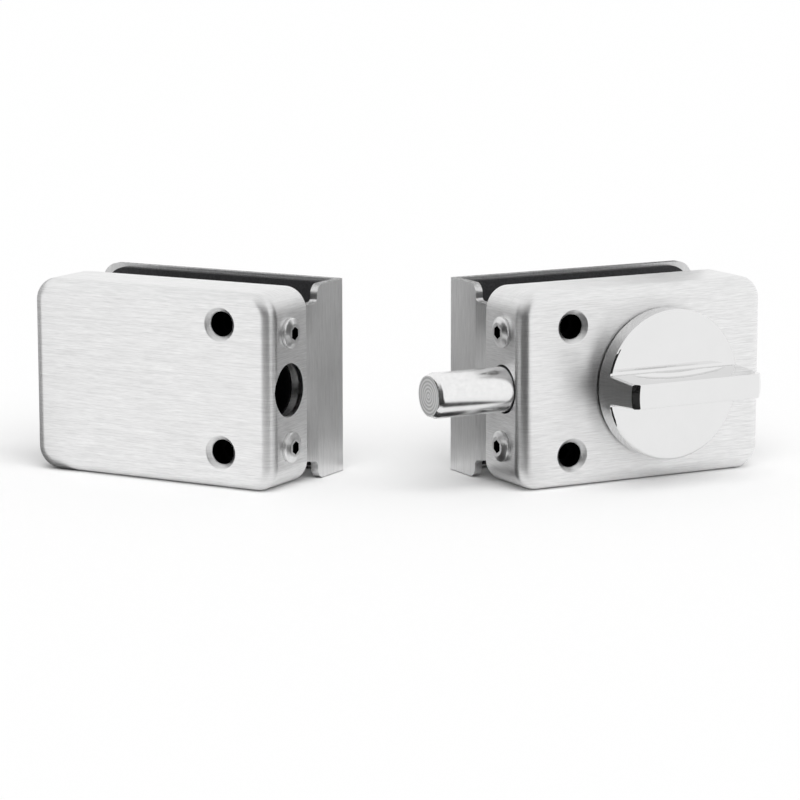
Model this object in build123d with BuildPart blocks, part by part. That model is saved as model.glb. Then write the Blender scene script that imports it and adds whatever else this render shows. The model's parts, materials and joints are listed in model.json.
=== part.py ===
"""Glass door lock: a lock unit and a strike unit, each clamped on the edge of its own glass pane."""

import os
from math import acos, cos, pi, radians, sin, tan

from build123d import *

# Sizes are in millimetres. Each unit is drawn in its own frame: x runs into the case from the side face
# that the bolt passes, z runs up from the bolt's axis, and the front of the unit looks along -y.

# Bolt and the metal round it
bolt_diameter = 11.5
bolt_fit = 0.05
channel_floor = 1.4
bolt_guard = 2.3
foot_length = 5.6
lead_in_length = 1.6
lead_in_depth = 0.65

# Case, a pressed pan that is open at the back
case_height = 50.0
case_wall = 1.5
case_corner = 6.0
case_front_edge = 3.4
pan_gap = 0.3
rim_gap = 0.1
case_bolt_hole_gap = 0.4
spindle_hole_gap = 0.3

# Holes in the front through which a key reaches the clamp screws
access_hole = 6.3
access_edge = 1.2
access_x = 15.0
access_inset = 8.75
access_drop = 0.5

# Bent bracket: tongue inside the case, joggle, flange over the glass edge, and back plate
sheet = 2.0
tongue_gap = 0.1
tongue_notch = 4.4
tongue_corner = 3.0
tongue_taper = 2.7
tongue_setback = 1.6
notch_corner = 1.0
joggle_gap = 0.4
joggle_length = 5.0
joggle_bend = 3.0
flange_inset = 0.0
flange_corner = 2.5
flange_bend = 1.2
plate_overhang = 1.1
plate_corner = 5.0
slot_clearance = 0.55

# Gaskets and the plate that clamps the glass
gasket_thickness = 1.5
glass_room = 12.2
clamp_plate_thickness = 1.8
clamp_plate_corner = 7.0
clamp_plate_side = 0.6
clamp_plate_end = 2.0
clamp_plate_top = 1.4
dimple_depth = 0.5
dimple_gap = 0.2
clamp_gasket_inset = 0.6
back_gasket_top = 0.8
back_gasket_end = 1.7
back_gasket_corner = 6.5
gasket_gap = 2.1

# Set screws that push the clamp plate
set_screw_diameter = 8.0
set_screw_start = 3.7
set_screw_point = 1.0
set_screw_key = 4.0
set_screw_socket = 5.0
thread_fit = 0.05

# Button screws in the side
side_screw_inset = 10.5
side_screw_diameter = 4.0
side_screw_head = 7.8
side_screw_head_height = 1.7
side_screw_rim = 0.9
side_screw_face = 4.8
side_screw_key = 3.0
side_screw_socket = 1.2
side_screw_spacing = 1.0
screw_hole_gap = 0.2

# Rack and pinion
pinion_pitch_diameter = 13.5
pinion_teeth = 15
pressure_angle = 20.0
tooth_height = 0.8
tooth_foot = 1.05
tooth_play = 0.1
flank_steps = 4
knob_turn = 180.0
gear_width = 3.9
gear_gap = 0.1
rack_back = 3.3
rack_lead = 4.0
rack_room = 0.8
tail_gap = 0.93
rack_gaps_ahead = 1
rack_gaps_behind = 9
foot_top = 3.0
pinion_room = 0.5
end_wall = 3.0

# Spindle, its bearings and the screw that holds the knob
spindle_diameter = 9.0
spindle_square = 6.0
spindle_fit = 0.05
square_fit = 0.03
tail_journal = 4.6
knob_screw_diameter = 3.0
knob_screw_head = 6.0
knob_screw_head_height = 1.2
knob_screw_slot = 0.8
knob_screw_reach = 4.7
knob_screw_room = 1.0
head_gap = 0.05
back_gap = 0.25
socket_floor = 0.2

# Cover plate of the mechanism
cover_thickness = 1.3
cover_screw_diameter = 3.0
cover_screw_head = 5.6
cover_screw_length = 6.0
cover_screw_x = 10.5
cover_screw_spacing = 37.5
cover_screw_inset = 6.0
cover_screw_key = 2.0
cover_screw_socket = 1.0

# Detent that holds the bolt at both ends of its throw
detent_ball_diameter = 4.0
detent_x = 5.2
detent_fit = 0.05
detent_floor = 2.2
detent_notch = 0.9
detent_notch_gap = 0.1
spring_wire = 0.5
spring_diameter = 3.0
spring_turns = 4

# Knob: a turned disc with a milled grip bar across it
washer_diameter = 30.0
washer_thickness = 0.55
washer_gap = 0.2
knob_gap = 0.05
knob_diameter = 38.4
knob_disc = 5.3
knob_rim = 0.4
bar_height = 11.8
bar_root = 7.6
bar_front = 6.1
bar_root_fillet = 0.8
bar_edge = 0.35
bar_end_chamfer = 1.5
scoop_radius = 72.0
scoop_waist = 4.5
scoop_lip = 2.8
scoop_rise = 1.2
scoop_fillet = 1.2

# Strike: the bore that takes the bolt, and where the strike unit stands beside the lock unit
strike_bore_gap = 0.85
strike_hole_gap = 1.05
strike_bore_spare = 1.2
bracket_slot_gap = 0.3
strike_turn = 56.9
strike_aside = 47.6
strike_behind = 24.0

# Depths, from the bolt's axis forward and back
bolt_radius = bolt_diameter / 2
channel_radius = bolt_radius + bolt_fit
chassis_front = -(channel_radius + channel_floor)
case_inner_front = chassis_front - pan_gap
case_front = case_inner_front - case_wall
chassis_back = channel_radius
cover_back = chassis_back + cover_thickness
spindle_end = cover_back + head_gap
clamp_front = spindle_end + knob_screw_head_height + back_gap
case_back = clamp_front - rim_gap
clamp_back = clamp_front + clamp_plate_thickness
clamp_face = clamp_back + gasket_thickness
glass_face = clamp_face + glass_room
bracket_inner = glass_face + gasket_thickness
bracket_back = bracket_inner + sheet
gear_back = chassis_back - gear_gap
gear_front = gear_back - gear_width
pocket_floor = gear_front - gear_gap

# Heights from the bolt's axis
pitch_radius = pinion_pitch_diameter / 2
gear_module = pinion_pitch_diameter / pinion_teeth
tooth_pitch = pi * gear_module
tip_height = gear_module * tooth_height
foot_depth = gear_module * tooth_foot
tip_radius = pitch_radius + tip_height
root_radius = pitch_radius - foot_depth
rack_tip = -(pitch_radius - tip_height)
rack_root = -(pitch_radius + foot_depth)
rack_bottom = rack_root - rack_back
case_top = case_height / 2
chassis_top = case_top - case_wall - pan_gap
tongue_top = case_top - tongue_notch
ball_height = rack_bottom - detent_fit - detent_ball_diameter / 2
detent_bottom = -chassis_top + detent_floor
clamp_top = case_top - clamp_plate_top
chassis_corner = case_corner - case_wall - pan_gap
chassis_edge = case_front_edge - case_wall - pan_gap
access_low = -access_drop - (case_top - access_inset)
access_high = -access_drop + (case_top - access_inset)
side_screw_z = case_top - side_screw_inset

# Places along the case, from the side face that the bolt passes
tongue_x = case_wall + tongue_gap
tongue_inner = tongue_x + sheet
chassis_side = tongue_inner + tongue_gap
throw = pitch_radius * radians(knob_turn)
foot_x = chassis_side + bolt_guard
tail_x = foot_x + foot_length
knob_x = tail_x + throw + tail_gap + tip_radius
rack_end = knob_x + rack_lead
pocket_end = rack_end + throw + rack_room
chassis_end = pocket_end + end_wall
case_width = chassis_end + pan_gap + case_wall
channel_end = tail_x + throw + tail_gap
plate_end = case_width + plate_overhang
clamp_left = tongue_inner + clamp_plate_side
clamp_right = case_width - clamp_plate_end
side_screw_tip = access_x - set_screw_diameter / 2 - side_screw_spacing
flange_front = case_back + joggle_gap + joggle_length
joggle_start = case_back + joggle_gap
tongue_front = case_inner_front + tongue_setback
set_screw_front = chassis_front + set_screw_start
set_screw_back = clamp_front + dimple_depth
knob_back = case_front - washer_thickness - knob_gap
knob_face = knob_back - knob_disc
knob_front = knob_face - bar_height
spindle_front = knob_face + socket_floor
knob_screw_tip = knob_face - knob_screw_reach
detent_place = knob_x - detent_x
ball_depth = (pocket_floor + chassis_back) / 2
cover_screw_near = access_x + cover_screw_x
cover_screw_far = cover_screw_near + cover_screw_spacing
cover_screw_points = [
    (x, z)
    for x in (cover_screw_near, cover_screw_far)
    for z in (case_top - cover_screw_inset, cover_screw_inset - case_top)
]

# The lock unit stands square with its bolt along -x. The strike unit is the same pressing turned end for
# end, and stands behind at an angle, facing the bolt.
lock_site = Plane(origin=(0, 0, 0), x_dir=(1, 0, 0), z_dir=(0, 0, 1))
strike_site = Plane(
    origin=(-strike_aside, strike_behind, 0),
    x_dir=(-cos(radians(strike_turn)), sin(radians(strike_turn)), 0),
    z_dir=(0, 0, -1),
)


def facing_front(depth):
    """Drawing plane seen from the front, at a depth y. Its normal is -y."""
    return Plane.XZ.offset(-depth)


def access_places():
    """Centres of the two front holes and of the set screws behind them."""
    return Locations((access_x, access_low), (access_x, access_high))


def make_pan_form(inset):
    """Body of the case's outline, taken in all round, with soft front edges."""
    with BuildPart() as form:
        with BuildSketch(facing_front(case_back)):
            with Locations((case_width / 2, 0)):
                RectangleRounded(case_width - 2 * inset, case_height - 2 * inset, case_corner - inset)
        extrude(amount=case_back - case_front - inset)
        fillet(form.faces().sort_by(Axis.Y)[0].edges(), case_front_edge - inset)
    return form


def make_case(outside, inside, bolt_hole, has_knob):
    """Pan with dished access holes in its front and holes in its side for bolt and screws."""
    with BuildPart() as case:
        add(outside.part)
        add(inside.part, mode=Mode.SUBTRACT)
        with BuildSketch(facing_front(case_front)):
            with access_places():
                Circle(access_hole / 2)
        extrude(amount=-case_wall, mode=Mode.SUBTRACT)
        mouths = case.edges().filter_by(lambda edge: edge.is_closed).group_by(Axis.Y)[0]
        chamfer(mouths, access_edge)
        with BuildSketch(Plane.YZ):
            Circle(bolt_hole / 2)
            with Locations((0, side_screw_z), (0, -side_screw_z)):
                Circle(side_screw_diameter / 2 + screw_hole_gap)
        extrude(amount=chassis_side, mode=Mode.SUBTRACT)
        if has_knob:
            with BuildSketch(facing_front(case_front)):
                with Locations((knob_x, 0)):
                    Circle(spindle_diameter / 2 + spindle_hole_gap)
            extrude(amount=-case_wall, mode=Mode.SUBTRACT)
    return case


def make_bracket(bolt_slot):
    """Sheet bent round the glass edge, with its forked tongue inside the case."""
    with BuildPart() as bracket:
        with BuildSketch(Plane.XY.offset(-case_top)):
            with BuildLine():
                FilletPolyline(
                    (tongue_x, tongue_front),
                    (tongue_x, joggle_start),
                    (flange_inset, flange_front),
                    (flange_inset, bracket_back),
                    (plate_end, bracket_back),
                    radius=(joggle_bend, joggle_bend, flange_bend),
                )
                offset(amount=sheet, side=Side.RIGHT)
            make_face()
        extrude(amount=case_height)
        with BuildSketch(Plane.YZ):
            with BuildLine():
                FilletPolyline(
                    (tongue_front, 0),
                    (tongue_front, tongue_top - tongue_taper),
                    (flange_front, tongue_top),
                    (flange_front, case_top),
                    (bracket_back, case_top),
                    radius=(tongue_corner, notch_corner, flange_corner),
                )
                Line((bracket_back, case_top), (bracket_back, 0))
                mirror(about=Plane.XZ)
            make_face()
        extrude(amount=plate_end, mode=Mode.INTERSECT)
        fillet(bracket.edges().filter_by(Axis.Y).group_by(Axis.X)[-1], plate_corner)
        with BuildSketch(Plane.YZ):
            Circle(bolt_slot / 2)
            with Locations((tongue_front / 2, 0)):
                Rectangle(-tongue_front, bolt_slot)
            with Locations((0, side_screw_z), (0, -side_screw_z)):
                Circle(side_screw_diameter / 2 + screw_hole_gap)
        extrude(amount=chassis_side, mode=Mode.SUBTRACT)
    return bracket


def chassis_outline():
    """Outline of the cast block inside the case."""
    with Locations(((chassis_side + chassis_end) / 2, 0)):
        return RectangleRounded(chassis_end - chassis_side, 2 * chassis_top, chassis_corner)


def make_screw_bores(back):
    """Space of the tapped bores for the set screws and the side screws, in a block that ends at y = back."""
    with BuildPart() as bores:
        with BuildSketch(facing_front(back)):
            with access_places():
                Circle(set_screw_diameter / 2 + thread_fit)
        extrude(amount=back - chassis_front)
        with BuildSketch(Plane.YZ.offset(chassis_side)):
            with Locations((0, side_screw_z), (0, -side_screw_z)):
                Circle(side_screw_diameter / 2 + thread_fit)
        extrude(amount=side_screw_tip + side_screw_spacing / 2 - chassis_side)
    return bores


def make_lock_chassis(bores):
    """Cast block with the bolt's channel, the pocket of rack and pinion, and the spindle's bearing."""
    with BuildPart() as chassis:
        with BuildSketch(facing_front(chassis_back)):
            chassis_outline()
        extrude(amount=chassis_back - chassis_front)
        chamfer(chassis.faces().sort_by(Axis.Y)[0].edges(), chassis_edge)
        with BuildSketch(Plane.YZ.offset(chassis_side)):
            Circle(channel_radius)
            with Locations((chassis_back / 2, 0)):
                Rectangle(chassis_back, 2 * channel_radius)
        extrude(amount=channel_end - chassis_side, mode=Mode.SUBTRACT)
        pocket_low = rack_bottom - bolt_fit
        foot_room = foot_top + gear_gap
        rack_top = rack_tip + gear_gap
        with BuildSketch(facing_front(pocket_floor)):
            with Locations((chassis_side, pocket_low)):
                Rectangle(channel_end - chassis_side, foot_room - pocket_low, align=(Align.MIN, Align.MIN))
                Rectangle(pocket_end - chassis_side, rack_top - pocket_low, align=(Align.MIN, Align.MIN))
            with Locations((knob_x, 0)):
                Circle(tip_radius + pinion_room)
            with Locations((detent_place, detent_bottom)):
                Rectangle(
                    detent_ball_diameter + 2 * detent_fit,
                    pocket_low - detent_bottom,
                    align=(Align.CENTER, Align.MIN),
                )
        extrude(amount=pocket_floor - chassis_back, mode=Mode.SUBTRACT)
        with BuildSketch(facing_front(pocket_floor)):
            with Locations((knob_x, 0)):
                Circle(spindle_diameter / 2 + spindle_fit)
        extrude(amount=pocket_floor - chassis_front, mode=Mode.SUBTRACT)
        with BuildSketch(facing_front(chassis_back)):
            with Locations(*cover_screw_points):
                Circle(cover_screw_diameter / 2 + thread_fit)
        extrude(amount=cover_screw_length, mode=Mode.SUBTRACT)
        add(bores.part, mode=Mode.SUBTRACT)
    return chassis


def make_strike_chassis(bores):
    """Cast block with the blind bore that takes the bolt."""
    with BuildPart() as chassis:
        with BuildSketch(facing_front(cover_back)):
            chassis_outline()
        extrude(amount=cover_back - chassis_front)
        chamfer(chassis.faces().sort_by(Axis.Y)[0].edges(), chassis_edge)
        with BuildSketch(Plane.YZ.offset(chassis_side)):
            Circle(bolt_radius + strike_bore_gap)
        extrude(amount=throw + strike_bore_spare, mode=Mode.SUBTRACT)
        add(bores.part, mode=Mode.SUBTRACT)
    return chassis


def make_side_screw():
    """Screw with a bevelled head and a hexagon socket. The underside of the head is at z = 0."""
    with BuildPart() as screw:
        with BuildSketch(Plane.XZ):
            with BuildLine():
                Polyline(
                    (0, side_screw_head_height),
                    (0, -side_screw_tip),
                    (side_screw_diameter / 2, -side_screw_tip),
                    (side_screw_diameter / 2, 0),
                    (side_screw_head / 2, 0),
                    (side_screw_head / 2, side_screw_rim),
                    (side_screw_face / 2, side_screw_head_height),
                    close=True,
                )
            make_face()
        revolve(axis=Axis.Z)
        with BuildSketch(Plane.XY.offset(side_screw_head_height)):
            RegularPolygon(side_screw_key / 2, 6, major_radius=False, rotation=30)
        extrude(amount=-side_screw_socket, mode=Mode.SUBTRACT)
    return screw


def make_side_screws(screw):
    """The two button screws, their heads on the side face."""
    with BuildPart() as screws:
        for height in (side_screw_z, -side_screw_z):
            with Locations(Plane(origin=(0, 0, height), x_dir=(0, -1, 0), z_dir=(-1, 0, 0))):
                add(screw.part)
    return screws


def make_clamp_screws():
    """The two set screws, pointed at the clamp plate, with their key sockets towards the front holes."""
    with BuildPart() as screws:
        with BuildSketch(facing_front(set_screw_front)):
            with access_places():
                Circle(set_screw_diameter / 2)
        extrude(amount=set_screw_front - set_screw_back)
        chamfer(screws.edges().group_by(Axis.Y)[-1], set_screw_point)
        with BuildSketch(facing_front(set_screw_front)):
            with access_places():
                RegularPolygon(set_screw_key / 2, 6, major_radius=False)
        extrude(amount=-set_screw_socket, mode=Mode.SUBTRACT)
    return screws


def make_clamp_plate():
    """Flat plate with a dimple for the point of each set screw."""
    with BuildPart() as plate:
        with BuildSketch(facing_front(clamp_back)):
            with Locations(((clamp_left + clamp_right) / 2, 0)):
                RectangleRounded(clamp_right - clamp_left, 2 * clamp_top, clamp_plate_corner)
        extrude(amount=clamp_plate_thickness)
        with BuildSketch(facing_front(clamp_front)):
            with access_places():
                Circle(set_screw_diameter / 2 - set_screw_point + dimple_depth + dimple_gap)
        extrude(amount=-dimple_depth, mode=Mode.SUBTRACT)
    return plate


def make_clamp_gasket():
    """Rubber sheet on the clamp plate, against the front of the glass."""
    with BuildPart() as gasket:
        with BuildSketch(facing_front(clamp_face)):
            with Locations(((clamp_left + clamp_right) / 2, 0)):
                RectangleRounded(
                    clamp_right - clamp_left - 2 * clamp_gasket_inset,
                    2 * (clamp_top - clamp_gasket_inset),
                    clamp_plate_corner - clamp_gasket_inset,
                )
        extrude(amount=gasket_thickness)
    return gasket


def make_back_gasket():
    """Rubber sheet on the back plate, against the back of the glass."""
    start = flange_inset + sheet + gasket_gap
    end = plate_end - back_gasket_end
    with BuildPart() as gasket:
        with BuildSketch(facing_front(bracket_inner)) as outline:
            with Locations((start, 0)):
                Rectangle(end - start, 2 * (case_top - back_gasket_top), align=(Align.MIN, Align.CENTER))
            fillet(outline.vertices().group_by(Axis.X)[-1], back_gasket_corner)
        extrude(amount=gasket_thickness)
    return gasket


def make_bolt():
    """Turned rod with a lead-in at its end, and a foot at its tail that carries the rack."""
    with BuildPart() as bolt:
        with BuildSketch(Plane.XY):
            with BuildLine():
                Polyline(
                    (-throw, 0),
                    (-throw, bolt_radius - lead_in_depth),
                    (-throw + lead_in_length, bolt_radius),
                    (tail_x, bolt_radius),
                    (tail_x, 0),
                    close=True,
                )
            make_face()
        revolve(axis=Axis.X)
        tooth_gap = tooth_pitch / 2 + tooth_play + 2 * tip_height * tan(radians(pressure_angle))
        gap_places = [
            (knob_x + step * tooth_pitch, (rack_tip + rack_root) / 2)
            for step in range(-rack_gaps_behind, rack_gaps_ahead + 1)
        ]
        notch_places = [
            (place, rack_bottom + detent_notch - detent_ball_diameter / 2 - detent_notch_gap)
            for place in (detent_place, detent_place - throw)
        ]
        with BuildSketch(facing_front(gear_front)):
            with Locations((foot_x, rack_bottom)):
                Rectangle(foot_length, foot_top - rack_bottom, align=(Align.MIN, Align.MIN))
                Rectangle(rack_end - foot_x, rack_tip - rack_bottom, align=(Align.MIN, Align.MIN))
            with Locations(*gap_places):
                Trapezoid(
                    tooth_gap,
                    rack_tip - rack_root,
                    90 - pressure_angle,
                    rotation=180,
                    mode=Mode.SUBTRACT,
                )
            with Locations(*notch_places):
                Circle(detent_ball_diameter / 2 + detent_notch_gap, mode=Mode.SUBTRACT)
        extrude(amount=-gear_width)
    return bolt


def involute(angle):
    """Angle that an involute turns through, at a given pressure angle in radians."""
    return tan(angle) - angle


def make_tooth():
    """One tooth of the pinion, pointing along x, with involute flanks."""
    pressure = radians(pressure_angle)
    base_radius = pitch_radius * cos(pressure)
    half_tooth = (tooth_pitch / 2 - tooth_play) / (2 * pitch_radius) + involute(pressure)
    flank = []
    for step in range(flank_steps + 1):
        radius = base_radius + (tip_radius - base_radius) * step / flank_steps
        angle = half_tooth - involute(acos(base_radius / radius))
        flank.append((radius * cos(angle), radius * sin(angle)))
    with BuildSketch() as tooth:
        with BuildLine():
            Line((0, 0), flank[0])
            Spline(*flank)
            Line(flank[-1], (flank[-1][0], 0))
            mirror(about=Plane.XZ)
        make_face()
    return tooth


def make_pinion(tooth):
    """Pinion that turns with the spindle and drives the rack. One tooth points straight down at rest."""
    with BuildPart() as pinion:
        with BuildSketch(facing_front(gear_front)):
            with Locations((knob_x, 0)):
                Circle(root_radius)
                with PolarLocations(0, pinion_teeth, start_angle=-90):
                    add(tooth.sketch)
                Rectangle(
                    spindle_square + 2 * square_fit,
                    spindle_square + 2 * square_fit,
                    mode=Mode.SUBTRACT,
                )
        extrude(amount=-gear_width)
    return pinion


def make_spindle():
    """Hollow spindle: square in knob and pinion, with journals in the block and in the cover."""
    with BuildPart() as spindle:
        with BuildSketch(facing_front(spindle_front)):
            with Locations((knob_x, 0)):
                Rectangle(spindle_square, spindle_square)
        extrude(amount=spindle_front - gear_back)
        with BuildSketch(facing_front(gear_front)):
            with Locations((knob_x, 0)):
                Circle(spindle_diameter / 2)
        extrude(amount=gear_front - knob_back)
        with BuildSketch(facing_front(spindle_end)):
            with Locations((knob_x, 0)):
                Circle(tail_journal / 2)
        extrude(amount=spindle_end - gear_back)
        with BuildSketch(facing_front(spindle_end)):
            with Locations((knob_x, 0)):
                Circle(knob_screw_diameter / 2 + screw_hole_gap)
        extrude(amount=spindle_end - spindle_front, mode=Mode.SUBTRACT)
    return spindle


def make_spindle_screw():
    """Slotted pan screw through the spindle that holds the knob on it."""
    with BuildPart() as screw:
        with BuildSketch(facing_front(spindle_end)):
            with Locations((knob_x, 0)):
                Circle(knob_screw_head / 2)
        extrude(amount=-knob_screw_head_height)
        chamfer(screw.edges().group_by(Axis.Y)[-1], knob_screw_head_height / 3)
        with BuildSketch(facing_front(spindle_end)):
            with Locations((knob_x, 0)):
                Circle(knob_screw_diameter / 2)
        extrude(amount=spindle_end - knob_screw_tip)
        with BuildSketch(facing_front(spindle_end + knob_screw_head_height)):
            with Locations((knob_x, 0)):
                Rectangle(knob_screw_head, knob_screw_slot)
        extrude(amount=knob_screw_head_height / 2, mode=Mode.SUBTRACT)
    return screw


def make_cover():
    """Plate that closes the mechanism from behind and carries the spindle's tail."""
    with BuildPart() as cover:
        with BuildSketch(facing_front(cover_back)):
            chassis_outline()
            with access_places():
                Circle(set_screw_diameter / 2 + screw_hole_gap, mode=Mode.SUBTRACT)
            with Locations((knob_x, 0)):
                Circle(tail_journal / 2 + spindle_fit, mode=Mode.SUBTRACT)
        extrude(amount=cover_thickness)
        for x, z in cover_screw_points:
            with Locations(facing_back(x, cover_back, z)):
                CounterSinkHole(
                    cover_screw_diameter / 2 + thread_fit,
                    cover_screw_head / 2 + thread_fit,
                    cover_thickness,
                    counter_sink_angle=90,
                )
    return cover


def facing_back(x, y, z):
    """Plane at a place, with its normal along +y."""
    return Plane(origin=(x, y, z), x_dir=(1, 0, 0), z_dir=(0, 1, 0))


def make_cover_screw():
    """Countersunk screw with a hexagon socket. Its face is at z = 0."""
    shank = cover_screw_diameter / 2
    head = cover_screw_head / 2
    with BuildPart() as screw:
        with BuildSketch(Plane.XZ):
            with BuildLine():
                Polyline(
                    (0, 0),
                    (head, 0),
                    (shank, shank - head),
                    (shank, -cover_screw_length),
                    (0, -cover_screw_length),
                    close=True,
                )
            make_face()
        revolve(axis=Axis.Z)
        with BuildSketch():
            RegularPolygon(cover_screw_key / 2, 6, major_radius=False)
        extrude(amount=-cover_screw_socket, mode=Mode.SUBTRACT)
    return screw


def make_cover_screws(screw):
    """The cover's screws, flush with its back."""
    with BuildPart() as screws:
        for x, z in cover_screw_points:
            with Locations(facing_back(x, cover_back, z)):
                add(screw.part)
    return screws


def make_detent_ball():
    """Ball under the rack, at the height at which the rack slides over it."""
    with BuildPart() as ball:
        with Locations((detent_place, ball_depth, ball_height)):
            Sphere(detent_ball_diameter / 2)
    return ball


def make_detent_spring():
    """Coil spring below the ball."""
    base = detent_bottom + spring_wire / 2
    top = ball_height - detent_ball_diameter / 2 - spring_wire / 2
    with BuildPart() as spring:
        with BuildLine(Plane(origin=(detent_place, ball_depth, base))) as coil:
            Helix((top - base) / spring_turns, top - base, spring_diameter / 2)
        with BuildSketch(Plane(origin=coil.line @ 0, z_dir=coil.line % 0)):
            RegularPolygon(spring_wire / 2, 6)
        sweep(path=coil.line, is_frenet=True)
    return spring


def make_knob_washer():
    """Thin plastic ring between the knob and the case."""
    with BuildPart() as washer:
        with BuildSketch(facing_front(case_front)):
            with Locations((knob_x, 0)):
                Circle(washer_diameter / 2)
                Circle(spindle_diameter / 2 + washer_gap, mode=Mode.SUBTRACT)
        extrude(amount=washer_thickness)
    return washer


def make_scoop_cutter():
    """Pair of round-edged discs, the space that the finger scoops take from both sides of the grip bar."""
    scoop_back = knob_face - scoop_rise
    scoop_front = knob_front + scoop_lip
    centre = scoop_waist / 2 + scoop_radius
    with BuildPart() as cutter:
        with BuildSketch(facing_front(scoop_back)):
            with Locations((knob_x, centre), (knob_x, -centre)):
                Circle(scoop_radius)
        extrude(amount=scoop_back - scoop_front)
        fillet(cutter.edges().filter_by(lambda edge: edge.is_closed), scoop_fillet)
    return cutter


def make_knob(cutter):
    """Turned disc with a tapered grip bar across it, scooped for the fingers."""
    radius = knob_diameter / 2
    with BuildPart() as knob:
        with BuildSketch(Plane.XY):
            with BuildLine():
                Polyline(
                    (knob_x, knob_back),
                    (knob_x + radius, knob_back),
                    (knob_x + radius, knob_front + bar_end_chamfer),
                    (knob_x + radius - bar_end_chamfer, knob_front),
                    (knob_x, knob_front),
                    close=True,
                )
            make_face()
        revolve(axis=Axis((knob_x, 0, 0), (0, 1, 0)))
        with BuildSketch(Plane.YZ.offset(knob_x - radius)):
            with BuildLine():
                Line((knob_back, 0), (knob_back, knob_diameter))
                Line((knob_back, knob_diameter), (knob_face, knob_diameter))
                FilletPolyline(
                    (knob_face, knob_diameter),
                    (knob_face, bar_root / 2),
                    (knob_front, bar_front / 2),
                    (knob_front, 0),
                    radius=(bar_root_fillet, bar_edge),
                )
                mirror(about=Plane.XZ)
            make_face()
        extrude(amount=knob_diameter, mode=Mode.INTERSECT)
        rim = knob.edges().filter_by(GeomType.CIRCLE).filter_by_position(Axis.Y, knob_face, knob_back)
        chamfer(rim, knob_rim)
        add(cutter.part, mode=Mode.SUBTRACT)
        with BuildSketch(facing_front(knob_back)):
            with Locations((knob_x, 0)):
                Rectangle(spindle_square + 2 * square_fit, spindle_square + 2 * square_fit)
        extrude(amount=knob_back - knob_face, mode=Mode.SUBTRACT)
        with BuildSketch(facing_front(knob_face)):
            with Locations((knob_x, 0)):
                Circle(knob_screw_diameter / 2 + thread_fit)
        extrude(amount=knob_screw_reach + knob_screw_room, mode=Mode.SUBTRACT)
    return knob


def save(piece, name, site):
    """Stand a piece in its unit's place, label it and write its file."""
    placed = site.location * piece.part
    placed.label = name
    export_step(placed, f"parts/{name}.step")


os.makedirs("parts", exist_ok=True)
side_screws = make_side_screws(make_side_screw())
clamp_screws = make_clamp_screws()
clamp_plate = make_clamp_plate()
clamp_gasket = make_clamp_gasket()
back_gasket = make_back_gasket()
for unit, site in (("lock", lock_site), ("strike", strike_site)):
    save(side_screws, f"{unit}_side_screws", site)
    save(clamp_screws, f"{unit}_clamp_screws", site)
    save(clamp_plate, f"{unit}_clamp_plate", site)
    save(clamp_gasket, f"{unit}_clamp_gasket", site)
    save(back_gasket, f"{unit}_back_gasket", site)

outside = make_pan_form(0)
inside = make_pan_form(case_wall)
lock_hole = bolt_diameter + 2 * case_bolt_hole_gap
save(make_case(outside, inside, lock_hole, has_knob=True), "lock_case", lock_site)
save(make_bracket(bolt_diameter + 2 * slot_clearance), "lock_bracket", lock_site)
save(make_lock_chassis(make_screw_bores(chassis_back)), "lock_chassis", lock_site)
save(make_bolt(), "bolt", lock_site)
save(make_pinion(make_tooth()), "pinion", lock_site)
save(make_spindle(), "spindle", lock_site)
save(make_spindle_screw(), "spindle_screw", lock_site)
save(make_cover(), "chassis_cover", lock_site)
save(make_cover_screws(make_cover_screw()), "cover_screws", lock_site)
save(make_detent_ball(), "detent_ball", lock_site)
save(make_detent_spring(), "detent_spring", lock_site)
save(make_knob_washer(), "knob_washer", lock_site)
save(make_knob(make_scoop_cutter()), "knob", lock_site)

strike_hole = bolt_diameter + 2 * strike_hole_gap
save(make_case(outside, inside, strike_hole, has_knob=False), "strike_case", strike_site)
save(make_bracket(strike_hole + 2 * bracket_slot_gap), "strike_bracket", strike_site)
save(make_strike_chassis(make_screw_bores(cover_back)), "strike_chassis", strike_site)
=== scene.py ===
import json
import math

import bmesh
import bpy
from mathutils import Matrix, Vector


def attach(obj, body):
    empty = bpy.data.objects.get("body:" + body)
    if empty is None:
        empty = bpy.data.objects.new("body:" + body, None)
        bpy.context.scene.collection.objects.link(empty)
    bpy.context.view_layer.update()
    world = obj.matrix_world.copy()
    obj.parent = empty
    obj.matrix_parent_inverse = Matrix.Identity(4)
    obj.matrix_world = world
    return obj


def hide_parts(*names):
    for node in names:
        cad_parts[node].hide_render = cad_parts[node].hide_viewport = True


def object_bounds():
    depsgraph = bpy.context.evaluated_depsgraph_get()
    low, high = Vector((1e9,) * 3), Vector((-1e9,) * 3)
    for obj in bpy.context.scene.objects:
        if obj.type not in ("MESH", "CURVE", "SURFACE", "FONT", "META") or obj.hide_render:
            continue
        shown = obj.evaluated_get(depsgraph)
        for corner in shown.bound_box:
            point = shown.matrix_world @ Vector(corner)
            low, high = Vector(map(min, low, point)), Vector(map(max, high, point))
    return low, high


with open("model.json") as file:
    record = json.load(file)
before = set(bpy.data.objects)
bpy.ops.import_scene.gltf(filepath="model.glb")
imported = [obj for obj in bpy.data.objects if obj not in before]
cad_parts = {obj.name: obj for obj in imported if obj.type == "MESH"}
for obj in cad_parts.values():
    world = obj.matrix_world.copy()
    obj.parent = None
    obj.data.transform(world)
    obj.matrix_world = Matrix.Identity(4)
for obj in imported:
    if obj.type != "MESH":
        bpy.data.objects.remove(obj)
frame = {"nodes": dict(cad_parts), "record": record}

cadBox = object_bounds()
scene = bpy.context.scene
scene.view_settings.view_transform = "Standard"
mm = 0.001

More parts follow.
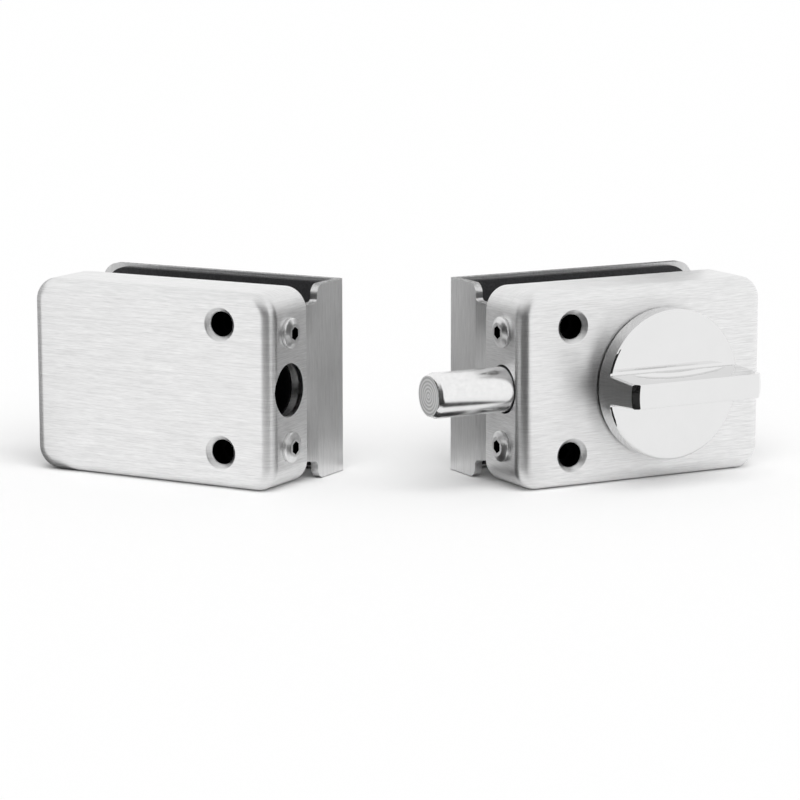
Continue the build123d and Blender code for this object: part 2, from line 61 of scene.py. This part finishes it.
# Camera: the photograph's view, fitted to the edges of both units
cameraSettings = {
    "place": (-0.38241, -0.65799, 0.13192),
    "target": (-0.03181, 0.03504, 0.0),
    "roll": -0.286,          # degrees
    "lens": 138.61,
    "sensor": 36.0,
    "shiftX": 0.09241,
    "shiftY": -0.026575,
    "nearest": 0.01,
}


def makeCamera(settings):
    data = bpy.data.cameras.new("camera")
    data.lens = settings["lens"]
    data.sensor_width = settings["sensor"]
    data.shift_x = settings["shiftX"]
    data.shift_y = settings["shiftY"]
    data.clip_start = settings["nearest"]
    camera = bpy.data.objects.new("camera", data)
    place = Vector(settings["place"])
    towards = Vector(settings["target"]) - place
    aim = towards.to_track_quat("-Z", "Y").to_matrix().to_4x4()
    roll = Matrix.Rotation(math.radians(settings["roll"]), 4, "Z")
    camera.matrix_world = Matrix.Translation(place) @ aim @ roll
    scene.collection.objects.link(camera)
    scene.camera = camera


makeCamera(cameraSettings)
print("camera placed")

# Noise: the range that most of its values lie in, and how strongly and how finely it is broken up
noiseSettings = {"low": 0.3, "high": 0.7, "roughness": 0.6, "scratchDetail": 2.0, "mottleDetail": 3.0}


def linear(hexColour):
    # sRGB hex value to linear colour with alpha
    values = [int(hexColour[i:i + 2], 16) / 255 for i in (1, 3, 5)]
    return [v / 12.92 if v <= 0.04045 else ((v + 0.055) / 1.055) ** 2.4 for v in values] + [1.0]


def addNode(tree, kind, settings=(), inputs=()):
    # a node with its settings, and its inputs as values or as links from other nodes' outputs
    node = tree.nodes.new(kind)
    for name, value in dict(settings).items():
        setattr(node, name, value)
    for name, value in dict(inputs).items():
        if isinstance(value, bpy.types.NodeSocket):
            tree.links.new(value, node.inputs[name])
        else:
            node.inputs[name].default_value = value
    return node


def calculate(tree, operation, first, second=0.0):
    # both inputs of a Math node have the same name, so they go by number
    return addNode(tree, "ShaderNodeMath", {"operation": operation}, {0: first, 1: second}).outputs["Value"]


def mixValues(tree, factor, first, second):
    mixed = addNode(tree, "ShaderNodeMix", {"data_type": "FLOAT"}, {"Factor": factor, "A": first, "B": second})
    return mixed.outputs["Result"]


def mixColours(tree, factor, first, second):
    # a Mix node gives its colours the names of its values, so they go by number: 6 and 7 in, 2 out
    return addNode(tree, "ShaderNodeMix", {"data_type": "RGBA"}, {0: factor, 6: first, 7: second}).outputs[2]


def newMaterial(name):
    material = bpy.data.materials.new(name)
    material.use_nodes = True
    tree = material.node_tree
    return material, tree, tree.nodes["Principled BSDF"]


def unitDirections(tree, place, turn, origin=(0.0, 0.0, 0.0)):
    # the place as seen from a unit that stands at the origin, turned about z
    turned = addNode(tree, "ShaderNodeMapping", {"vector_type": "TEXTURE"}, {
        "Vector": place.outputs["Object"], "Location": origin, "Rotation": (0.0, 0.0, turn)})
    return turned.outputs["Vector"]


def noiseOn(tree, vector, size, detail):
    # noise whose blobs measure size (mm) along x, y and z
    scaled = addNode(tree, "ShaderNodeMapping", {}, {
        "Vector": vector, "Scale": [1.0 / (length * mm) for length in size]})
    noise = addNode(tree, "ShaderNodeTexNoise", {}, {
        "Vector": scaled.outputs["Vector"], "Scale": 1.0, "Detail": detail,
        "Roughness": noiseSettings["roughness"]})
    return noise.outputs["Fac"]


def mottleOn(tree, place, size):
    # noise with even blobs
    return noiseOn(tree, place.outputs["Object"], [size] * 3, noiseSettings["mottleDetail"])


def gloss(tree, value, settings):
    # the noise's middle range carried to the roughness, less and more its spread
    ranged = addNode(tree, "ShaderNodeMapRange", {}, {
        "Value": value, "From Min": noiseSettings["low"], "From Max": noiseSettings["high"],
        "To Min": settings["roughness"] - settings["roughSpread"],
        "To Max": settings["roughness"] + settings["roughSpread"]})
    return ranged.outputs["Result"]


def shades(tree, value, settings):
    # the noise's middle range carried from the dark to the light colour
    ramp = addNode(tree, "ShaderNodeValToRGB", {}, {"Fac": value})
    for element, position, colour in zip(ramp.color_ramp.elements, ("low", "high"), ("dark", "light")):
        element.position = noiseSettings[position]
        element.color = linear(settings[colour])
    return ramp.outputs["Color"]


def finish(tree, shader, colour, rough, height, settings):
    # colour, gloss and relief of a material, from their nodes
    relief = addNode(tree, "ShaderNodeBump", {}, {
        "Height": height, "Strength": settings["bump"], "Distance": settings["depth"] * mm})
    tree.links.new(colour, shader.inputs["Base Color"])
    tree.links.new(rough, shader.inputs["Roughness"])
    tree.links.new(relief.outputs["Normal"], shader.inputs["Normal"])
    shader.inputs["Metallic"].default_value = settings["metallic"]


def brushedStainless(name, settings, turn):
    # Stainless steel, brushed with a belt: a soft sheen over fine straight scratches, with faint lighter and
    # darker streaks. The real scratches are about 0.05 mm apart. They are drawn coarser, so that they show.
    # Faces that look up or down have scratches too, so there the noise lies on its side.
    material, tree, shader = newMaterial(name)
    place = addNode(tree, "ShaderNodeTexCoord")
    turned = unitDirections(tree, place, turn)
    # flat is 1 on faces that look up or down and 0 on upright ones
    normal = addNode(tree, "ShaderNodeSeparateXYZ", {}, {"Vector": place.outputs["Normal"]})
    flat = calculate(tree, "POWER", normal.outputs["Z"], 2.0)
    layers = []
    for along, aside, upward in (settings["scratch"], settings["streak"]):
        upright = noiseOn(tree, turned, (along, aside, upward), noiseSettings["scratchDetail"])
        lying = noiseOn(tree, turned, (along, upward, aside), noiseSettings["scratchDetail"])
        layers.append(mixValues(tree, flat, upright, lying))
    # The gloss spreads across the scratches: up and down where they lie level, sideways where they stand.
    # A little of another axis keeps that direction alive on faces that look straight up.
    if settings["level"]:
        across = addNode(tree, "ShaderNodeCombineXYZ", {}, {"Y": 0.1, "Z": 1.0})
    else:
        across = addNode(tree, "ShaderNodeVectorMath", {"operation": "CROSS_PRODUCT"}, {
            0: addNode(tree, "ShaderNodeNewGeometry").outputs["Normal"], 1: (0.02, 0.0, 1.0)})
    tree.links.new(across.outputs["Vector"], shader.inputs["Tangent"])
    shader.inputs["Anisotropic"].default_value = settings["anisotropic"]
    # half scratches, half streaks
    colour = shades(tree, mixValues(tree, 0.5, layers[0], layers[1]), settings)
    if not settings["level"]:
        # the sheet's cut edges above and below are raw: darker and mottled
        cutEdge = settings["cutEdge"]
        colour = mixColours(tree, flat, colour, shades(tree, mottleOn(tree, place, cutEdge["grain"]), cutEdge))
    finish(tree, shader, colour, gloss(tree, layers[0], settings), layers[0], settings)
    return material


def mottledSurface(name, settings):
    # Cast, plated, oxidised or moulded surface: a light even mottle in colour, gloss and relief
    material, tree, shader = newMaterial(name)
    mottle = mottleOn(tree, addNode(tree, "ShaderNodeTexCoord"), settings["grain"])
    finish(tree, shader, shades(tree, mottle, settings), gloss(tree, mottle, settings), mottle, settings)
    return material


def socketScrew(name, settings, origin, turn):
    # Turned stainless screw, bright but for its hexagon socket, which is coloured near black as painted shade for its
    # deep hole. What lies near the screw's axis and deeper than the face of its head is socket, in the unit's own
    # directions.
    material, tree, shader = newMaterial(name)
    place = addNode(tree, "ShaderNodeTexCoord")
    local = addNode(tree, "ShaderNodeSeparateXYZ", {}, {"Vector": unitDirections(tree, place, turn, origin)})
    above = calculate(tree, "SUBTRACT", calculate(tree, "ABSOLUTE", local.outputs["Z"]), settings["height"] * mm)
    aside = addNode(tree, "ShaderNodeCombineXYZ", {}, {"X": local.outputs["Y"], "Y": above})
    radius = addNode(tree, "ShaderNodeVectorMath", {"operation": "LENGTH"}, {0: aside.outputs["Vector"]})
    near = calculate(tree, "LESS_THAN", radius.outputs["Value"], settings["socket"] * mm)
    deep = calculate(tree, "GREATER_THAN", local.outputs["X"], settings["face"] * mm)
    mottle = mottleOn(tree, place, settings["grain"])
    # the socket is coloured near black: painted shade standing in for the shadow in its deep hole
    colour = mixColours(tree, calculate(tree, "MULTIPLY", near, deep), shades(tree, mottle, settings),
                        linear(settings["paintedSocketShade"]))
    finish(tree, shader, colour, gloss(tree, mottle, settings), mottle, settings)
    return material


def polishedChrome(name, settings):
    # Chrome plate on polished brass: a mirror, with a faint haze of handling that mostly changes its gloss.
    # An end across the x axis can be turned: it keeps the lathe's rings and is less glossy.
    material, tree, shader = newMaterial(name)
    place = addNode(tree, "ShaderNodeTexCoord")
    haze = mottleOn(tree, place, settings["haze"])
    # at this scale a Wave node draws one ring for each unit of distance
    scaled = addNode(tree, "ShaderNodeMapping", {}, {
        "Vector": place.outputs["Object"], "Scale": [1.0 / (settings["ring"] * mm)] * 3})
    rings = addNode(tree, "ShaderNodeTexWave", {"wave_type": "RINGS", "rings_direction": "X"}, {
        "Vector": scaled.outputs["Vector"], "Scale": 0.31, "Distortion": 0.4, "Detail": 1.0}).outputs["Fac"]
    # end is 1 on faces square to the x axis and falls off fast as they turn away
    normal = addNode(tree, "ShaderNodeSeparateXYZ", {}, {"Vector": place.outputs["Normal"]})
    end = calculate(tree, "POWER", normal.outputs["X"], 6.0)
    colour = mixColours(tree, end, shades(tree, haze, settings), shades(tree, rings, settings["end"]))
    rough = mixValues(tree, end, gloss(tree, haze, settings), settings["end"]["roughness"])
    finish(tree, shader, colour, rough, rings, settings)
    return material


# The strike unit's place and its turn about z, from the lock unit
strikePlace = (-0.0476, 0.024, 0.0)
strikeTurn = math.radians(180 - 56.9)

# Lengths in mm. Scratches and streaks are given along the pan, through it and upward.
caseSteel = {
    "scratch": (3.0, 3.0, 0.16), "streak": (8.0, 8.0, 0.28), "level": True, "anisotropic": 0.8,
    "dark": "#d9d9d9", "light": "#fefefe", "roughness": 0.42, "roughSpread": 0.04,
    "bump": 0.05, "depth": 0.02, "metallic": 1.0,
}
bracketSteel = {
    "scratch": (0.2, 0.2, 3.0), "streak": (0.5, 0.5, 9.0), "level": False, "anisotropic": 0.8,
    "dark": "#dedede", "light": "#f6f6f6", "roughness": 0.42, "roughSpread": 0.04,
    "bump": 0.05, "depth": 0.02, "metallic": 1.0,
    "cutEdge": {"grain": 0.7, "dark": "#6c6c6c", "light": "#c8c8c8"},
}
sideScrew = {
    # the socket's near-black colour is painted shade for its deep hole
    "height": 14.5, "socket": 1.85, "face": -1.62, "paintedSocketShade": "#101010", "grain": 0.3,
    "dark": "#dedede", "light": "#ededed", "roughness": 0.34, "roughSpread": 0.06,
    "bump": 0.08, "depth": 0.01, "metallic": 1.0,
}
materials = {
    "lockScrew": socketScrew("turnedStainlessLockScrew", sideScrew, (0.0, 0.0, 0.0), 0.0),
    "strikeScrew": socketScrew("turnedStainlessStrikeScrew", sideScrew, strikePlace, strikeTurn),
    "lockCase": brushedStainless("brushedStainlessLockCase", caseSteel, 0.0),
    "strikeCase": brushedStainless("brushedStainlessStrikeCase", caseSteel, strikeTurn),
    "lockBracket": brushedStainless("brushedStainlessLockBracket", bracketSteel, 0.0),
    "strikeBracket": brushedStainless("brushedStainlessStrikeBracket", bracketSteel, strikeTurn),
    "screw": mottledSurface("turnedStainlessScrew", {
        "grain": 0.3, "dark": "#dcdcdc", "light": "#ececec", "roughness": 0.14, "roughSpread": 0.04,
        "bump": 0.04, "depth": 0.01, "metallic": 1.0}),
    # the chassis is coloured near black: painted shade for the bore and slots it is seen through
    "zinc": mottledSurface("dieCastZincPaintedShade", {
        "grain": 0.6, "dark": "#1c1c1d", "light": "#2a2a2c", "roughness": 0.7, "roughSpread": 0.08,
        "bump": 0.2, "depth": 0.05, "metallic": 1.0}),
    "blackSteel": mottledSurface("blackOxideSteel", {
        "grain": 0.3, "dark": "#0c0c0d", "light": "#161617", "roughness": 0.5, "roughSpread": 0.08,
        "bump": 0.1, "depth": 0.02, "metallic": 1.0}),
    "plate": mottledSurface("zincPlatedSteel", {
        "grain": 1.5, "dark": "#9fa1a4", "light": "#b9bbbe", "roughness": 0.35, "roughSpread": 0.08,
        "bump": 0.05, "depth": 0.02, "metallic": 1.0}),
    "rubber": mottledSurface("pressedRubberSheet", {
        "grain": 0.5, "dark": "#1c1c1d", "light": "#3e3e40", "roughness": 0.75, "roughSpread": 0.1,
        "bump": 0.5, "depth": 0.08, "metallic": 0.0}),
    # the rings on the bolt's end are drawn coarser than real turning marks, so that they show
    "boltChrome": polishedChrome("chromePlatedBolt", {
        "haze": 1.2, "ring": 0.9, "dark": "#eaeaea", "light": "#f2f2f2", "roughness": 0.21, "roughSpread": 0.02,
        "end": {"dark": "#e4e4e4", "light": "#ffffff", "roughness": 0.75},
        "bump": 0.3, "depth": 0.02, "metallic": 1.0}),
    # the knob is polished all over, its ends as well
    "knobChrome": polishedChrome("mirrorChromeKnob", {
        "haze": 6.0, "ring": 2.0, "dark": "#e7e7e7", "light": "#e9e9e9", "roughness": 0.03, "roughSpread": 0.015,
        "end": {"dark": "#e7e7e7", "light": "#e9e9e9", "roughness": 0.03},
        "bump": 0.0, "depth": 0.01, "metallic": 1.0}),
    "nylon": mottledSurface("darkNylon", {
        "grain": 0.5, "dark": "#141414", "light": "#1f1f1f", "roughness": 0.6, "roughSpread": 0.1,
        "bump": 0.1, "depth": 0.02, "metallic": 0.0}),
}
print("materials made")

# Each node: its material and the width of its softened edges in mm
pieceSettings = {
    "lock_case": ("lockCase", 0.35),
    "strike_case": ("strikeCase", 0.35),
    "lock_bracket": ("lockBracket", 0.25),
    "strike_bracket": ("strikeBracket", 0.25),
    "lock_side_screws": ("lockScrew", 0.1),
    "strike_side_screws": ("strikeScrew", 0.1),
    "lock_chassis": ("zinc", 0.2),
    "strike_chassis": ("zinc", 0.2),
    "lock_clamp_screws": ("blackSteel", 0.1),
    "strike_clamp_screws": ("blackSteel", 0.1),
    "lock_clamp_plate": ("plate", 0.2),
    "strike_clamp_plate": ("plate", 0.2),
    "lock_clamp_gasket": ("rubber", 0.2),
    "strike_clamp_gasket": ("rubber", 0.2),
    "lock_back_gasket": ("rubber", 0.2),
    "strike_back_gasket": ("rubber", 0.2),
    "bolt": ("boltChrome", 0.1),
    "knob": ("knobChrome", 0.12),
    "knob_washer": ("nylon", 0.1),
    "spindle": ("plate", 0.1),
    "spindle_screw": ("screw", 0.1),
    "pinion": ("plate", 0.05),
    "chassis_cover": ("plate", 0.15),
    "cover_screws": ("screw", 0.08),
    "detent_ball": ("screw", 0.0),
    "detent_spring": ("plate", 0.0),
}
bodyOf = {node: body for body, nodes in frame["record"]["behaviour"]["bodies"].items() for node in nodes}

# Softening: points closer than joinDistance (m) are one, faces within flatAngle are joined to one flat face, and
# edges sharper than sharpAngle are rounded (degrees)
softSettings = {"joinDistance": 1e-6, "flatAngle": 0.05, "sharpAngle": 25, "segments": 2}


def softenedCopy(node, materialName, edgeWidth, settings):
    # The node's own shape with its flat faces joined, its sharp edges slightly rounded and its normals smooth
    mesh = frame["nodes"][node].data.copy()
    shape = bmesh.new()
    shape.from_mesh(mesh)
    bmesh.ops.remove_doubles(shape, verts=shape.verts, dist=settings["joinDistance"])
    bmesh.ops.dissolve_limit(shape, angle_limit=math.radians(settings["flatAngle"]), verts=shape.verts,
                             edges=shape.edges)
    shape.to_mesh(mesh)
    shape.free()
    mesh.shade_smooth()
    mesh.materials.clear()
    mesh.materials.append(materials[materialName])
    piece = bpy.data.objects.new(node + "_finished", mesh)
    scene.collection.objects.link(piece)
    if edgeWidth:
        bevel = piece.modifiers.new("edges", "BEVEL")
        bevel.width = edgeWidth * mm
        bevel.segments = settings["segments"]
        bevel.limit_method = "ANGLE"
        bevel.angle_limit = math.radians(settings["sharpAngle"])
        bevel.harden_normals = True
    normals = piece.modifiers.new("normals", "WEIGHTED_NORMAL")
    normals.keep_sharp = True
    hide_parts(node)
    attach(piece, bodyOf[node])


for node, (materialName, edgeWidth) in pieceSettings.items():
    softenedCopy(node, materialName, edgeWidth, softSettings)
print("pieces finished")


def uprightCard(start, end, low, high):
    # corners of an upright card, from the ends of its foot and the heights of its lower and upper edge
    return (*start, low), (*end, low), (*end, high), (*start, high)


def floorCard(*corners):
    # corners of a card that lies on the floor
    return [(*corner, 0.0) for corner in corners]


# Studio: a pale floor under a white sky of soft light, with a soft sun lamp from above. Cards, most of them dark,
# give the metal something to show besides white. They are seen in reflections only. Lengths in metres.
studioSettings = {
    "floorSize": 16.0,
    "floorDrop": 0.0002,
    "floorColour": "#fdfdfd",
    "roughness": 0.9,
    "skyLevel": 0.55,
    "skySeen": 1.0,
    "sunPower": 1.8,
    "sunFrom": (-0.15, -0.7, 1.0),
    "sunWidth": 60.0,
    # each card: its colour and its corners
    "cards": {
        "frontCard": ("#101010", uprightCard((-0.36, -0.10), (-0.05, -0.30), 0.0, 0.22)),
        "frontFloorCard": ("#101010", floorCard((-0.045, -0.03), (0.014, -0.018), (-0.05, -0.30), (-0.36, -0.10))),
        "nearCard": ("#202020", uprightCard((-0.028, -0.015), (-0.032, -0.060), 0.0, 0.06)),
        "nearBackCard": ("#d4d4d4", uprightCard((-0.031, -0.015), (-0.035, -0.060), 0.0, 0.06)),
        "backCard": ("#b4b4b4", uprightCard((-0.28, 0.16), (-0.05, 0.20), 0.0, 0.10)),
        "backFloorCard": ("#747474", floorCard((-0.03, 0.045), (-0.005, 0.03), (-0.05, 0.20), (-0.28, 0.16))),
        "farCard": ("#f0f0f0", uprightCard((-0.10, 0.45), (0.70, 0.35), 0.0, 0.16)),
        "nearHighCard": ("#303030", uprightCard((-0.030, -0.015), (-0.030, 0.018), 0.034, 0.06)),
        "nearLowCard": ("#303030", uprightCard((-0.030, -0.015), (-0.030, 0.018), 0.0, 0.016)),
        "boltFloorCard": ("#303030", floorCard((-0.036, -0.006), (-0.001, -0.006), (-0.001, 0.014), (-0.036, 0.014))),
        "sideFloorCard": ("#b4b4b4", floorCard((0.0, 0.04), (0.08, 0.03), (0.08, 0.16), (0.0, 0.16))),
        "sideCard": ("#b4b4b4", uprightCard((0.08, 0.03), (0.08, 0.16), 0.0, 0.09)),
    },
}


def makeSheet(name, materialName, colour, corners, settings):
    # a plain flat sheet of four corners that belongs to the studio
    material, _, shader = newMaterial(materialName)
    shader.inputs["Base Color"].default_value = linear(colour)
    shader.inputs["Roughness"].default_value = settings["roughness"]
    mesh = bpy.data.meshes.new(name)
    mesh.from_pydata(corners, [], [(0, 1, 2, 3)])
    mesh.materials.append(material)
    sheet = bpy.data.objects.new(name, mesh)
    scene.collection.objects.link(sheet)
    return sheet, shader


def makeFloor(settings):
    half = settings["floorSize"] / 2
    level = cadBox[0][2] - settings["floorDrop"]
    corners = [(-half, -half, level), (half, -half, level), (half, half, level), (-half, half, level)]
    _, shader = makeSheet("floor", "paintedStudioFloor", settings["floorColour"], corners, settings)
    shader.inputs["Specular IOR Level"].default_value = 0.0


def makeCards(settings):
    for name, (colour, corners) in settings["cards"].items():
        raised = [(x, y, cadBox[0][2] + height) for x, y, height in corners]
        card, _ = makeSheet(name, name, colour, raised, settings)
        card.visible_camera = False
        card.visible_diffuse = False
        card.visible_shadow = False


def makeSun(settings):
    data = bpy.data.lights.new("softSun", "SUN")
    data.energy = settings["sunPower"]
    data.angle = math.radians(settings["sunWidth"])
    sun = bpy.data.objects.new("softSun", data)
    sun.rotation_euler = Vector(settings["sunFrom"]).to_track_quat("Z", "Y").to_euler()
    sun.visible_glossy = False
    scene.collection.objects.link(sun)


def makeSky(settings):
    # white where it is seen or mirrored, weaker where it lights
    world = bpy.data.worlds.new("studioSky")
    scene.world = world
    world.use_nodes = True
    tree = world.node_tree
    rays = addNode(tree, "ShaderNodeLightPath").outputs
    mirrored = calculate(tree, "MAXIMUM", rays["Is Glossy Ray"], rays["Is Transmission Ray"])
    seen = calculate(tree, "MAXIMUM", rays["Is Camera Ray"], mirrored)
    background = tree.nodes["Background"]
    background.inputs["Color"].default_value = linear("#ffffff")
    tree.links.new(mixValues(tree, seen, settings["skyLevel"], settings["skySeen"]), background.inputs["Strength"])


makeFloor(studioSettings)
makeCards(studioSettings)
makeSun(studioSettings)
makeSky(studioSettings)
print("studio lit")
